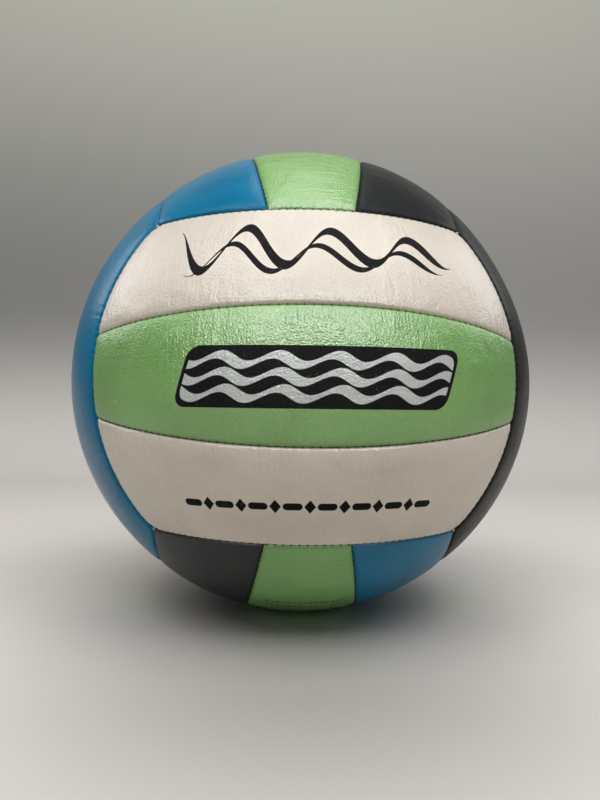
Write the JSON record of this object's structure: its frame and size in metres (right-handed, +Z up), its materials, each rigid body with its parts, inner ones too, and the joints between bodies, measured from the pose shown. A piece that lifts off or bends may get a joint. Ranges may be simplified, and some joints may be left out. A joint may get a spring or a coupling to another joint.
{
  "type": "volleyball",
  "caption": "Beach volleyball with a stitched panel cover in strips of three to a face, foam pads under the skins, a bladder and a push-in needle valve.",
  "frame": {"origin": "centre of the ball", "axes": "+Z up from the surface it rests on, -Y towards the face with the printed strips, +Y out along the valve, X along that face's strips"},
  "size_m": [0.2132, 0.2131, 0.2127],
  "materials": {
    "white_cover": "pearl satin, fine grain",
    "green_cover": "pearl satin, fine grain",
    "blue_cover": "pearl metallic satin, fine grain",
    "charcoal_cover": "satin, fine grain",
    "foam": "matt, fine cells",
    "thread": "twisted, waxed",
    "bladder_rubber": "matt, talc dusted",
    "patch_rubber": "matt",
    "valve_rubber": "satin, moulded"
  },
  "bodies": {
    "ball": {"front_top_panel": "white_cover", "front_middle_panel": "green_cover", "front_bottom_panel": "white_cover", "back_top_panel": "white_cover", "back_middle_panel": "green_cover", "back_bottom_panel": "white_cover", "top_left_panel": "blue_cover", "top_middle_panel": "green_cover", "top_right_panel": "charcoal_cover", "bottom_left_panel": "charcoal_cover", "bottom_middle_panel": "green_cover", "bottom_right_panel": "blue_cover", "left_front_panel": "blue_cover", "left_middle_panel": "green_cover", "left_back_panel": "charcoal_cover", "right_front_panel": "charcoal_cover", "right_middle_panel": "green_cover", "right_back_panel": "blue_cover", "front_top_foam": "foam", "front_middle_foam": "foam", "front_bottom_foam": "foam", "back_top_foam": "foam", "back_middle_foam": "foam", "back_bottom_foam": "foam", "top_left_foam": "foam", "top_middle_foam": "foam", "top_right_foam": "foam", "bottom_left_foam": "foam", "bottom_middle_foam": "foam", "bottom_right_foam": "foam", "left_front_foam": "foam", "left_middle_foam": "foam", "left_back_foam": "foam", "right_front_foam": "foam", "right_middle_foam": "foam", "right_back_foam": "foam", "front_thread": "thread", "back_thread": "thread", "top_thread": "thread", "bottom_thread": "thread", "left_thread": "thread", "right_thread": "thread", "bladder": "bladder_rubber", "valve_patch": "patch_rubber", "valve_housing": "valve_rubber"},
    "valve_insert": {"valve_insert": "valve_rubber"}
  },
  "joints": [
    {"name": "valve_insert_slide", "type": "slide", "parent": "ball", "child": "valve_insert", "axis": [0, 1, 0], "range_m": [0, 0.02]}
  ]
}
